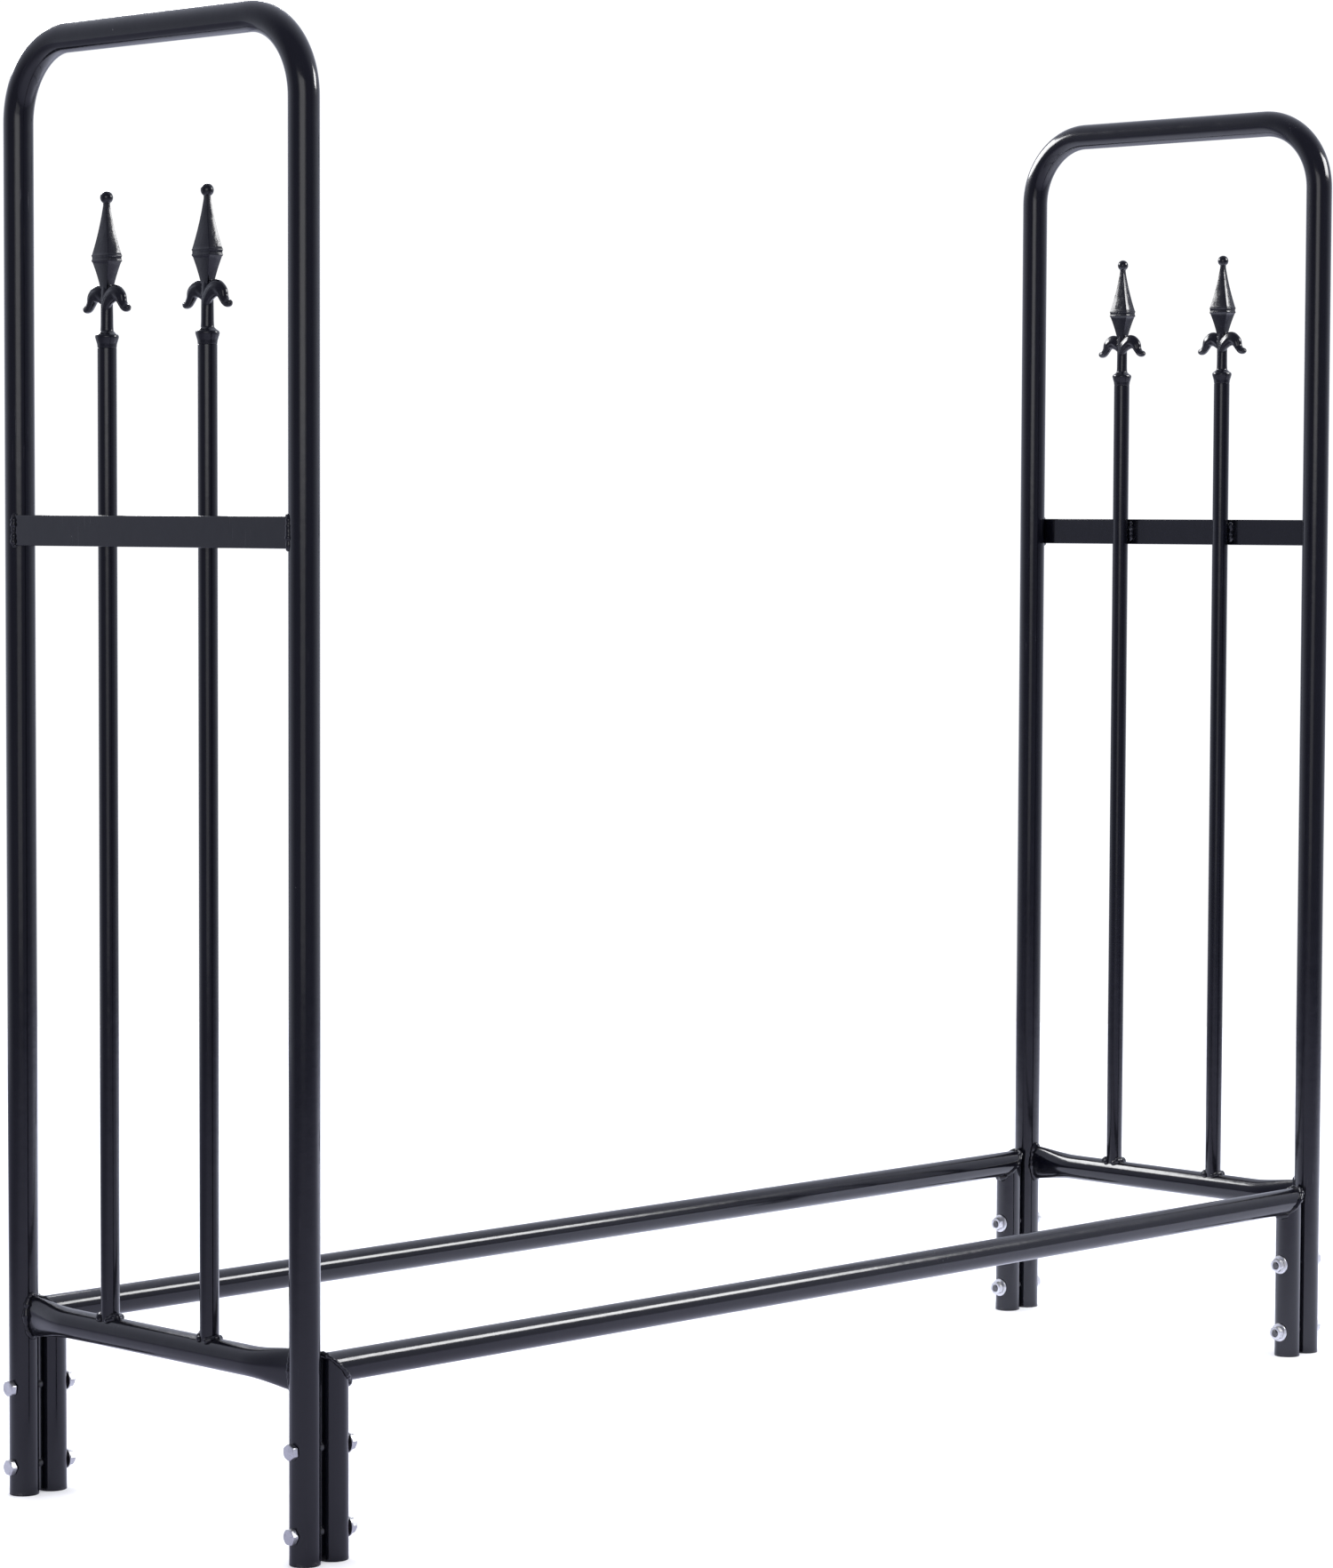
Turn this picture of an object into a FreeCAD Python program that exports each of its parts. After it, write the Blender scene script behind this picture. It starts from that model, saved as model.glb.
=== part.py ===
import FreeCAD, Part
import Sketcher
import math
import os

# A firewood log rack: two arched end frames of bent round tube, each with a lower
# cross tube, a flat crossbar and two upright rods with cast finials, joined by a
# front and a rear rail.  Each rail ends in two short posts bolted beside the legs.
# X runs along the rack, Y from front to rear, Z up.  The origin is on the floor,
# midway between the four legs.

SIZES = {
    # end frames
    "frame_spacing": 1186.0,  # between the middle planes of the two end frames
    "leg_spacing": 328.4,  # between the axes of the two legs of one end frame
    "arch_height": 1102.5,  # floor to the axis of the arch's top run
    "bend_radius": 60.0,  # corner of the arch, at the tube's axis
    "tube_dia": 22.6,
    "tube_wall": 1.2,
    # lower cross tube, squeezed tall and narrow at both ends
    "squeezed_height": 32.0,
    "squeezed_width": 9.0,
    "squeeze_length": 60.0,
    # crossbar
    "crossbar_centre": 736.8,
    "crossbar_height": 23.0,
    "crossbar_thick": 3.0,
    # rods
    "rod_dia": 14.2,
    "rod_wall": 1.2,
    "rod_spacing": 116.0,
    "rod_top": 871.7,
    # finials, with heights above the top of the rod
    "collar_dia": 16.6,
    "collar_edge": 1.6,
    "collar_top": 10.2,
    "stem_dia": 8.8,
    "waist_height": 46.0,
    "waist_width": 8.0,
    "waist_depth": 6.6,
    "widest_height": 65.5,
    "blade_width": 19.4,
    "blade_depth": 12.5,
    "belt_height": 3.6,
    "neck_height": 106.0,
    "neck_width": 3.9,
    "ball_dia": 9.6,
    "ball_height": 110.4,
    "curl_out": 11.9,
    "curl_height": 38.8,
    "curl_radius": 7.8,
    "arm_thick": 8.0,
    "tip_out": 20.7,
    "tip_height": 31.6,
    "tip_length": 11.8,
    "tip_dia": 6.2,
    # side rails and posts
    "rail_height": 139.0,  # floor to the axis of the rail
    "joint_gap": 4.0,  # open gap between a leg and its post
    # quarter-inch fasteners
    "lower_bolt": 22.0,
    "upper_bolt": 83.0,
    "hole_dia": 7.0,
    "shank_dia": 6.2,
    "shank_length": 57.0,
    "hex_flats": 11.1,
    "hex_crown": 10.4,  # circle left on a chamfered hexagon
    "head_height": 4.5,
    "washer_dia": 16.0,
    "washer_bore": 6.8,
    "washer_thick": 1.6,
    "nut_height": 5.6,
    "thread_dia": 6.4,
}
HALVES = {"left": -1, "right": 1}
SIDES = {"front": -1, "rear": 1}
LEVELS = ("lower", "upper")
SQUEEZE_STEPS = 8  # straight stretches in the squeezed end of a cross tube
TURN_PER_BOLT = 23.0  # bolts are tightened by hand, so their heads differ

Vector = FreeCAD.Vector
UP_ACROSS_Y = FreeCAD.Rotation(Vector(1, 1, 1), 240)  # local X up, local Z along Y
ALONG_Y = FreeCAD.Rotation(Vector(1, 0, 0), -90)  # local Z along Y
POST_OFFSET = "(sizes.tube_dia + sizes.joint_gap)"
GRIP = f"({POST_OFFSET} + sizes.tube_dia)"

doc = FreeCAD.newDocument("firewood_log_rack")
sheet = doc.addObject("Spreadsheet::Sheet", "sizes")
for row, (alias, value) in enumerate(SIZES.items(), start=1):
    sheet.set(f"A{row}", alias)
    sheet.set(f"B{row}", str(value))
    sheet.setAlias(f"B{row}", alias)
doc.recompute()


def bind(thing, expressions):
    for path, expression in expressions.items():
        thing.setExpression(path, expression)
    return thing


def add(kind, name, expressions=None):
    return bind(doc.addObject(kind, name), expressions or {})


def place(thing, x="0", y="0", z="0", rotation=None):
    if rotation:
        thing.Placement = FreeCAD.Placement(Vector(), rotation)
    return bind(thing, {"Placement.Base.x": x, "Placement.Base.y": y, "Placement.Base.z": z})


def fuse(name, shapes):
    union = doc.addObject("Part::MultiFuse", name)
    union.Shapes = shapes
    return union


def combine(kind, name, base, tool):
    result = doc.addObject(kind, name)
    result.Base = base
    result.Tool = tool
    return result


def cut(name, base, tool):
    return combine("Part::Cut", name, base, tool)


def common(name, base, tool):
    return combine("Part::Common", name, base, tool)


def cylinder(name, diameter, height):
    return add("Part::Cylinder", name, {"Radius": f"({diameter}) / 2", "Height": height})


# sketches, drawn roughly and sized by their dimensions


def sketch_on(body, plane, name):
    sketch = body.newObject("Sketcher::SketchObject", name)
    support = next(item for item in body.Origin.OriginFeatures if item.Role == plane)
    sketch.AttachmentSupport = (support, [""])
    sketch.MapMode = "FlatFace"
    return sketch


def dimension(sketch, kind, targets, rough, expression):
    number = sketch.addConstraint(Sketcher.Constraint(kind, *targets, rough))
    sketch.setExpression(f"Constraints[{number}]", expression)


def pin(sketch, geometry, point, x, y):
    """Fix a point at x, y from the sketch's origin."""
    rough = sketch.getPoint(geometry, point)
    dimension(sketch, "DistanceX", (-1, 1, geometry, point), rough.x, x)
    dimension(sketch, "DistanceY", (-1, 1, geometry, point), rough.y, y)


def draw_circle(sketch, x, y, diameter):
    rough = Part.Circle(Vector(1, 1, 0), Vector(0, 0, 1), 5)
    number = sketch.addGeometry(rough)
    pin(sketch, number, 3, x, y)
    dimension(sketch, "Diameter", (number,), 10, diameter)


def draw_tube_section(sketch, x="0", y="0"):
    draw_circle(sketch, x, y, "sizes.tube_dia")
    draw_circle(sketch, x, y, "sizes.tube_dia - 2 * sizes.tube_wall")


def draw_polygon(sketch, corners):
    count = len(corners)
    turn = 2 * math.pi / count
    rough = [Vector(math.cos(i * turn), math.sin(i * turn), 0) * 10 for i in range(count)]
    first = sketch.GeometryCount
    for i in range(count):
        sketch.addGeometry(Part.LineSegment(rough[i], rough[(i + 1) % count]))
    for i in range(count):
        following = first + (i + 1) % count
        sketch.addConstraint(Sketcher.Constraint("Coincident", first + i, 2, following, 1))
    for i, (x, y) in enumerate(corners):
        pin(sketch, first + i, 1, x, y)


def feature(body, kind, name, profile, expressions=None, both_ways=False, **settings):
    step = body.newObject(kind, name)
    step.Profile = profile
    for key, value in settings.items():
        setattr(step, key, value)
    if both_ways:
        step.SideType = "Symmetric"
    return bind(step, expressions or {})


# end frames


def draw_arch_path(sketch):
    half = SIZES["leg_spacing"] / 2
    bend = SIZES["bend_radius"]
    top = SIZES["arch_height"]
    z_axis = Vector(0, 0, 1)
    front_corner = Part.Circle(Vector(bend - half, top - bend, 0), z_axis, bend)
    rear_corner = Part.Circle(Vector(half - bend, top - bend, 0), z_axis, bend)
    front_leg = sketch.addGeometry(
        Part.LineSegment(Vector(-half, 0, 0), Vector(-half, top - bend, 0))
    )
    front_bend = sketch.addGeometry(Part.ArcOfCircle(front_corner, math.pi / 2, math.pi))
    top_run = sketch.addGeometry(
        Part.LineSegment(Vector(bend - half, top, 0), Vector(half - bend, top, 0))
    )
    rear_bend = sketch.addGeometry(Part.ArcOfCircle(rear_corner, 0, math.pi / 2))
    rear_leg = sketch.addGeometry(
        Part.LineSegment(Vector(half, top - bend, 0), Vector(half, 0, 0))
    )
    for constraint in (
        ("Tangent", front_leg, 2, front_bend, 2),
        ("Tangent", front_bend, 1, top_run, 1),
        ("Tangent", top_run, 2, rear_bend, 2),
        ("Tangent", rear_bend, 1, rear_leg, 1),
        ("Vertical", front_leg),
        ("Vertical", rear_leg),
        ("Horizontal", top_run),
        ("Equal", front_bend, rear_bend),
        ("PointOnObject", front_leg, 1, -1),
        ("Symmetric", front_leg, 1, rear_leg, 2, -2),
    ):
        sketch.addConstraint(Sketcher.Constraint(*constraint))
    dimension(sketch, "DistanceX", (front_leg, 1, rear_leg, 2), 2 * half, "sizes.leg_spacing")
    dimension(sketch, "DistanceY", (-1, 1, top_run, 1), top, "sizes.arch_height")
    dimension(sketch, "Radius", (front_bend,), bend, "sizes.bend_radius")


def make_arch(half, sign):
    """One bent tube, standing on its two ends, cross-drilled for its four bolts."""
    body = doc.addObject("PartDesign::Body", f"end_arch_{half}")
    path = sketch_on(body, "YZ_Plane", f"arch_path_{half}")
    draw_arch_path(path)
    section = sketch_on(body, "XY_Plane", f"arch_section_{half}")
    draw_tube_section(section, y="-sizes.leg_spacing / 2")
    doc.recompute()
    feature(body, "PartDesign::AdditivePipe", f"arch_tube_{half}", section, Spine=path)
    holes = sketch_on(body, "YZ_Plane", f"arch_holes_{half}")
    for side in SIDES.values():
        for level in LEVELS:
            y = f"{side} * sizes.leg_spacing / 2"
            draw_circle(holes, y, f"sizes.{level}_bolt", "sizes.hole_dia")
    drill(body, f"arch_drilling_{half}", holes)
    return place(body, x=f"{sign} * sizes.frame_spacing / 2")


def drill(body, name, holes):
    feature(
        body, "PartDesign::Pocket", name, holes, {"Length": "2 * sizes.tube_dia"}, both_ways=True
    )


def leg_solids(name):
    """Short plain lengths of the two legs, to trim what is welded between them."""
    legs = []
    for side, sign in SIDES.items():
        leg = cylinder(f"{name}_trim_{side}", "sizes.tube_dia", "4 * sizes.tube_dia")
        legs.append(place(leg, y=f"{sign} * sizes.leg_spacing / 2", z="-2 * sizes.tube_dia"))
    return fuse(f"{name}_trim", legs)


def squeezed_loft(name, wall):
    """Round for most of its length, then tall and narrow towards both ends."""
    squeezes = [1 - step / SQUEEZE_STEPS for step in range(SQUEEZE_STEPS + 1)]
    stations = [(-1, squeeze) for squeeze in squeezes]
    stations += [(1, squeeze) for squeeze in reversed(squeezes)]
    sections = []
    for number, (end, squeeze) in enumerate(stations):
        ease = squeeze * squeeze * (3 - 2 * squeeze)
        height = f"sizes.tube_dia + {ease} * (sizes.squeezed_height - sizes.tube_dia)"
        width = f"sizes.tube_dia + {ease} * (sizes.squeezed_width - sizes.tube_dia)"
        inward = f"{1 - squeeze} * sizes.squeeze_length"
        oval = add(
            "Part::Ellipse",
            f"{name}_section_{number}",
            {
                "MajorRadius": f"({height}) / 2 - {wall}",
                "MinorRadius": f"({width}) / 2 - {wall}",
            },
        )
        y = f"{end} * (sizes.leg_spacing / 2 - {inward})"
        sections.append(place(oval, y=y, rotation=UP_ACROSS_Y))
    loft = doc.addObject("Part::Loft", name)
    loft.Sections = sections
    loft.Solid = True
    loft.Ruled = True
    return loft


def make_lower_cross_tube(half, sign):
    name = f"lower_cross_tube_{half}"
    outside = squeezed_loft(f"{name}_outside", "0")
    inside = squeezed_loft(f"{name}_inside", "sizes.tube_wall")
    shell = cut(f"{name}_shell", outside, inside)
    tube = cut(name, shell, leg_solids(name))
    return place(tube, x=f"{sign} * sizes.frame_spacing / 2", z="sizes.rail_height")


def make_crossbar(half, sign):
    """Flat bar against the outer side of the rods, its ends coped to the legs."""
    name = f"crossbar_{half}"
    bar = add(
        "Part::Box",
        f"{name}_bar",
        {
            "Length": "sizes.crossbar_thick",
            "Width": "sizes.leg_spacing",
            "Height": "sizes.crossbar_height",
        },
    )
    middle = f"{sign} * (sizes.rod_dia + sizes.crossbar_thick) / 2"
    place(
        bar,
        x=f"{middle} - sizes.crossbar_thick / 2",
        y="-sizes.leg_spacing / 2",
        z="-sizes.crossbar_height / 2",
    )
    crossbar = cut(name, bar, leg_solids(name))
    return place(crossbar, x=f"{sign} * sizes.frame_spacing / 2", z="sizes.crossbar_centre")


def make_rod(half, side):
    """Upright tube whose foot is coped to the lower cross tube."""
    name = f"rod_{side}_{half}"
    length = "sizes.rod_top - sizes.rail_height"
    outside = cylinder(f"{name}_outside", "sizes.rod_dia", length)
    inside = cylinder(f"{name}_inside", "sizes.rod_dia - 2 * sizes.rod_wall", length)
    trim = cylinder(f"{name}_trim", "sizes.tube_dia", "2 * sizes.tube_dia")
    place(trim, y="-sizes.tube_dia", rotation=ALONG_Y)
    rod = cut(name, cut(f"{name}_shell", outside, inside), trim)
    return place_in_frame(rod, half, side, "sizes.rod_spacing", "sizes.rail_height")


def place_in_frame(thing, half, side, spacing, height):
    x = f"{HALVES[half]} * sizes.frame_spacing / 2"
    return place(thing, x=x, y=f"{SIDES[side]} * {spacing} / 2", z=height)


# finials


def make_finial(half, side):
    """Casting with a collar, stem, two curled arms, a four-edged spear and a ball."""
    name = f"finial_{side}_{half}"
    body = doc.addObject("PartDesign::Body", f"{name}_core")
    turned = sketch_on(body, "XZ_Plane", f"{name}_turned")
    stem_edge = "sizes.stem_dia / 2"
    collar_edge = "sizes.collar_dia / 2"
    shoulder = "sizes.collar_top - 2 * sizes.collar_edge"
    draw_polygon(
        turned,
        [
            ("0", "0"),
            ("sizes.rod_dia / 2", "0"),
            (collar_edge, shoulder),
            (collar_edge, f"{shoulder} + sizes.collar_edge"),
            (f"{stem_edge} + sizes.collar_edge", "sizes.collar_top"),
            (stem_edge, "sizes.collar_top + 2 * sizes.collar_edge"),
            (stem_edge, "sizes.waist_height"),
            ("0", "sizes.waist_height"),
        ],
    )
    doc.recompute()
    axis = (turned, ["V_Axis"])
    feature(body, "PartDesign::Revolution", f"{name}_turning", turned, ReferenceAxis=axis)
    ball = add("Part::Sphere", f"{name}_ball", {"Radius": "sizes.ball_dia / 2"})
    place(ball, z="sizes.ball_height")
    arms = [lobe for sign in SIDES.values() for lobe in arm_lobes(name, sign)]
    casting = fuse(name, [body, make_spear(name), ball] + arms)
    return place_in_frame(casting, half, side, "sizes.rod_spacing", "sizes.rod_top")


def make_spear(name):
    """Blade that tapers both ways: what two crossed outlines, each padded, have in common."""
    slabs = []
    for plane, way in (("YZ_Plane", "width"), ("XZ_Plane", "depth")):
        slab = doc.addObject("PartDesign::Body", f"{name}_{way}_slab")
        outline = sketch_on(slab, plane, f"{name}_{way}_outline")
        draw_polygon(outline, blade_outline(way))
        length = {"Length": "sizes.blade_width"}
        feature(slab, "PartDesign::Pad", f"{name}_{way}_pad", outline, length, both_ways=True)
        slabs.append(slab)
    return common(f"{name}_spear", *slabs)


def blade_outline(way):
    belt_bottom = "sizes.widest_height - sizes.belt_height / 2"
    belt_top = "sizes.widest_height + sizes.belt_height / 2"
    rising = [
        (f"sizes.waist_{way} / 2", "sizes.waist_height - sizes.belt_height"),
        (f"sizes.blade_{way} / 2", belt_bottom),
        (f"sizes.blade_{way} / 2", belt_top),
        ("sizes.neck_width / 2", "sizes.neck_height"),
    ]
    return rising + [(f"-{reach}", height) for reach, height in reversed(rising)]


def arm_lobes(name, sign):
    curl = add(
        "Part::Ellipsoid",
        f"{name}_curl_{sign + 1}",
        {
            "Radius1": "sizes.curl_radius",
            "Radius2": "sizes.arm_thick / 2",
            "Radius3": "sizes.curl_radius",
        },
    )
    tip = add(
        "Part::Ellipsoid",
        f"{name}_tip_{sign + 1}",
        {
            "Radius1": "sizes.tip_dia / 2",
            "Radius2": "sizes.tip_dia / 2",
            "Radius3": "sizes.tip_length / 2",
        },
    )
    place(curl, y=f"{sign} * sizes.curl_out", z="sizes.curl_height")
    place(tip, y=f"{sign} * sizes.tip_out", z="sizes.tip_height")
    return [curl, tip]


# side rails

POST_SPACING = f"(sizes.frame_spacing - 2 * {POST_OFFSET})"


def make_rail(side, sign):
    """Tube along the rack, both ends mitred downwards."""
    body = doc.addObject("PartDesign::Body", f"side_rail_{side}")
    section = sketch_on(body, "YZ_Plane", f"rail_section_{side}")
    draw_tube_section(section)
    length = f"{POST_SPACING} + sizes.tube_dia"
    feature(
        body, "PartDesign::Pad", f"rail_tube_{side}", section, {"Length": length}, both_ways=True
    )
    mitres = sketch_on(body, "XZ_Plane", f"rail_mitres_{side}")
    for end in HALVES.values():
        inner = f"{end} * ({POST_SPACING} / 2 - sizes.tube_dia)"
        outer = f"{end} * ({POST_SPACING} / 2 + sizes.tube_dia)"
        draw_polygon(
            mitres,
            [(inner, "-sizes.tube_dia"), (outer, "-sizes.tube_dia"), (outer, "sizes.tube_dia")],
        )
    drill(body, f"rail_mitring_{side}", mitres)
    return place(body, y=f"{sign} * sizes.leg_spacing / 2", z="sizes.rail_height")


def make_post(half, side):
    """Short tube under the end of a rail, its top mitred to meet it."""
    body = doc.addObject("PartDesign::Body", f"rail_post_{side}_{half}")
    section = sketch_on(body, "XY_Plane", f"post_section_{side}_{half}")
    draw_tube_section(section)
    length = "sizes.rail_height + sizes.tube_dia / 2"
    feature(body, "PartDesign::Pad", f"post_tube_{side}_{half}", section, {"Length": length})
    end = HALVES[half]
    mitre = sketch_on(body, "XZ_Plane", f"post_mitre_{side}_{half}")
    low = "sizes.rail_height - sizes.tube_dia"
    high = "sizes.rail_height + sizes.tube_dia"
    inner = f"{-end} * sizes.tube_dia"
    draw_polygon(mitre, [(inner, low), (f"{end} * sizes.tube_dia", high), (inner, high)])
    drill(body, f"post_mitring_{side}_{half}", mitre)
    holes = sketch_on(body, "YZ_Plane", f"post_holes_{side}_{half}")
    for level in LEVELS:
        draw_circle(holes, "0", f"sizes.{level}_bolt", "sizes.hole_dia")
    drill(body, f"post_drilling_{side}_{half}", holes)
    x = f"{end} * {POST_SPACING} / 2"
    return place(body, x=x, y=f"{SIDES[side]} * sizes.leg_spacing / 2")


# fasteners, each modelled along its own Z, which is then turned inwards


def hexagon(name, height, crowned_ends, turn=0):
    """Hexagonal block, its "low" and "high" end faces chamfered as asked at 30 degrees."""
    block = add(
        "Part::Prism",
        f"{name}_block",
        {"Circumradius": "sizes.hex_flats / sqrt(3)", "Height": height},
    )
    block.Polygon = 6
    block.Placement.Rotation = FreeCAD.Rotation(Vector(0, 0, 1), turn)
    crown = "sizes.hex_crown / 2"
    broad = f"{crown} + sqrt(3) * {height}"
    result = block
    for end in crowned_ends:
        low, high = (crown, broad) if end == "low" else (broad, crown)
        cone = add(
            "Part::Cone",
            f"{name}_{end}_chamfer",
            {"Radius1": low, "Radius2": high, "Height": height},
        )
        result = common(f"{name}_{end}_crowned", result, cone)
    return result


def place_fastener(thing, half, side, level, depth):
    """Set a fastener on the bolt's line, its origin that deep from the leg's outer side."""
    sign = HALVES[half]
    thing.Placement = FreeCAD.Placement(Vector(), FreeCAD.Rotation(Vector(0, 1, 0), -90 * sign))
    outer_side = "sizes.frame_spacing / 2 + sizes.tube_dia / 2"
    return bind(
        thing,
        {
            "Placement.Base.x": f"{sign} * ({outer_side} - {depth})",
            "Placement.Base.y": f"{SIDES[side]} * sizes.leg_spacing / 2",
            "Placement.Base.z": f"sizes.{level}_bolt",
        },
    )


def make_bolt(half, side, level, turn):
    name = f"bolt_{level}_{side}_{half}"
    head = hexagon(name, "sizes.head_height", ["low"], turn)
    place(head, z="-sizes.head_height")
    shank = cylinder(f"{name}_shank", "sizes.shank_dia", "sizes.shank_length")
    return place_fastener(fuse(name, [head, shank]), half, side, level, "0")


def make_washer(half, side, level):
    name = f"washer_{level}_{side}_{half}"
    disc = cylinder(f"{name}_disc", "sizes.washer_dia", "sizes.washer_thick")
    bore = cylinder(f"{name}_bore", "sizes.washer_bore", "sizes.washer_thick")
    return place_fastener(cut(name, disc, bore), half, side, level, GRIP)


def make_nut(half, side, level, turn):
    name = f"hex_nut_{level}_{side}_{half}"
    solid = hexagon(name, "sizes.nut_height", ["low", "high"], turn)
    thread = cylinder(f"{name}_thread", "sizes.thread_dia", "sizes.nut_height")
    depth = f"({GRIP} + sizes.washer_thick)"
    return place_fastener(cut(name, solid, thread), half, side, level, depth)


# assembly

pieces = []
for half, sign in HALVES.items():
    pieces.append(make_arch(half, sign))
    pieces.append(make_lower_cross_tube(half, sign))
    pieces.append(make_crossbar(half, sign))
    for side in SIDES:
        pieces.append(make_rod(half, side))
        pieces.append(make_finial(half, side))
        pieces.append(make_post(half, side))
        for level in LEVELS:
            turn = TURN_PER_BOLT * len(pieces)
            pieces.append(make_bolt(half, side, level, turn))
            pieces.append(make_washer(half, side, level))
            pieces.append(make_nut(half, side, level, 2 * turn))
for side, sign in SIDES.items():
    pieces.append(make_rail(side, sign))

doc.recompute()
for item in doc.Objects:
    if {"Invalid", "Error"} & set(item.State):
        raise RuntimeError(f"{item.Label} failed: {item.State}")
for piece in pieces:
    shape = piece.Shape
    if shape.isNull() or not shape.isValid() or len(shape.Solids) != 1:
        raise RuntimeError(f"{piece.Label} is not one sound solid")

os.makedirs("parts", exist_ok=True)
for piece in pieces:
    piece.Shape.exportStep(f"parts/{piece.Label}.step")
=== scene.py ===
import math
import random

import bmesh
import bpy
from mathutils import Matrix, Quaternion, Vector, noise


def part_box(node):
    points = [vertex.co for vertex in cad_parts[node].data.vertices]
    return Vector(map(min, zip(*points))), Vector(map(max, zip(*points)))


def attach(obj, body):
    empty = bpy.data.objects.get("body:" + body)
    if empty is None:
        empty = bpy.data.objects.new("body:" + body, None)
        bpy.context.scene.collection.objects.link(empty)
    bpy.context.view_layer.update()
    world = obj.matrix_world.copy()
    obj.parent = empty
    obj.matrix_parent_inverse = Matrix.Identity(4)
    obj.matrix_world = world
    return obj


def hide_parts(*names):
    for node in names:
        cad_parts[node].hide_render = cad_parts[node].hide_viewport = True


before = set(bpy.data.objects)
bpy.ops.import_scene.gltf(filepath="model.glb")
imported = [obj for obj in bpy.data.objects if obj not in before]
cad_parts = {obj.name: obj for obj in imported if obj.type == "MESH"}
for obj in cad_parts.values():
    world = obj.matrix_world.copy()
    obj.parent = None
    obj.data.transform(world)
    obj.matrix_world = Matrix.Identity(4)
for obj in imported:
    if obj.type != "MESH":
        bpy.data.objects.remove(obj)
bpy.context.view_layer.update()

# A firewood log rack in gloss black enamel: two arched end frames with rods and cast
# finials, two side rails on bolted posts, weld beads at every joint, zinc fasteners.
# Lengths are in metres, apart from the finial's tables, which are in millimetres.
# X runs along the rack, Y from front to rear, Z up.

MM = 0.001
HALVES = {"left": -1, "right": 1}
SIDES = {"front": -1, "rear": 1}
LEVELS = ("lower", "upper")
X_AXIS = Vector((1, 0, 0))
Y_AXIS = Vector((0, 1, 0))
Z_AXIS = Vector((0, 0, 1))


def middle(node):
    low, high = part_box(node)
    return (low + high) / 2


def extent(node):
    low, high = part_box(node)
    return high - low


# places, read from the frame

TUBE_RADIUS = extent("rail_post_front_left").x / 2
FRAME_X = middle("end_arch_right").x
LEG_Y = middle("rail_post_rear_left").y
ARCH_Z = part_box("end_arch_left")[1].z - TUBE_RADIUS
POST_X = middle("rail_post_front_right").x
RAIL_Z = middle("side_rail_front").z
ROD_RADIUS = extent("rod_front_left").x / 2
ROD_Y = middle("rod_rear_left").y
ROD_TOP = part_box("rod_front_left")[1].z
BAR_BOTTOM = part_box("crossbar_right")[0].z
BAR_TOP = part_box("crossbar_right")[1].z
BAR_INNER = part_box("crossbar_right")[0].x - FRAME_X
BAR_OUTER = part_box("crossbar_right")[1].x - FRAME_X

# shapes that a box doesn't tell

TUBE_WALL = 1.2 * MM
BEND_RADIUS = 60 * MM
BEND_FLATTENING = 0.025  # share of the radius lost at the middle of a bend
LIP = 0.3 * MM  # rounding of a cut tube end
LIP_LENGTH = 4 * LIP
SQUEEZED_HEIGHT = 32 * MM
SQUEEZED_WIDTH = 9 * MM
SQUEEZE_LENGTH = 60 * MM
COPE_ROUNDS = 3  # rounds in which a coped end settles on the leg
BAR_EDGE = 0.9 * MM

# how finely the meshes are divided

AROUND = 64
ROD_AROUND = 48
BEAD_AROUND = 14
LATHE_AROUND = 40
ARM_AROUND = 32
HEX_AROUND = 96
LEG_STEPS = 36
BEND_STEPS = 28
ARCH_TOP_STEPS = 8
SQUEEZE_STEPS = 20
CROSS_TUBE_STEPS = 6
CROSSBAR_STEPS = 24
CROSSBAR_CORNER_STEPS = 5
ROD_STEPS = 30
RAIL_STEPS = 48
POST_STEPS = 12


# mesh helpers


def skin(rings, cyclic=False):
    """Vertices and faces through rings of equal count, capped at both ends if not cyclic."""
    count = len(rings[0])
    vertices = [point for ring in rings for point in ring]
    faces = []
    for step in range(len(rings) if cyclic else len(rings) - 1):
        this = step * count
        following = (step + 1) % len(rings) * count
        for i in range(count):
            j = (i + 1) % count
            faces.append((this + i, this + j, following + j, following + i))
    if not cyclic:
        last = (len(rings) - 1) * count
        faces.append(tuple(reversed(range(count))))
        faces.append(tuple(range(last, last + count)))
    return vertices, faces


def mesh_of(name, shells, sharp_angle=40):
    """One mesh of (vertices, faces) shells, smooth except at edges past that angle."""
    built = bmesh.new()
    for vertices, faces in shells:
        corners = [built.verts.new(vertex) for vertex in vertices]
        for face in faces:
            built.faces.new([corners[i] for i in face])
    bmesh.ops.recalc_face_normals(built, faces=built.faces)
    mesh = bpy.data.meshes.new(name)
    built.to_mesh(mesh)
    built.free()
    mesh.shade_smooth()
    mesh.set_sharp_from_angle(angle=math.radians(sharp_angle))
    return mesh


def add_object(name, mesh):
    piece = bpy.data.objects.new(name, mesh)
    bpy.context.scene.collection.objects.link(piece)
    return piece


def finish_piece(piece, material, slot, *nodes):
    """Dress a piece, fix it to the rack and let it stand in for its CAD nodes."""
    piece.data.materials.clear()
    piece.data.materials.append(material)
    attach(piece, "root")
    if nodes:
        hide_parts(*nodes)
    return piece


def angles(count=AROUND):
    return [2 * math.pi * i / count for i in range(count)]


def evenly(start, stop, steps):
    return [start + (stop - start) * i / steps for i in range(steps + 1)]


def ease(share):
    return share * share * (3 - 2 * share)


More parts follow.
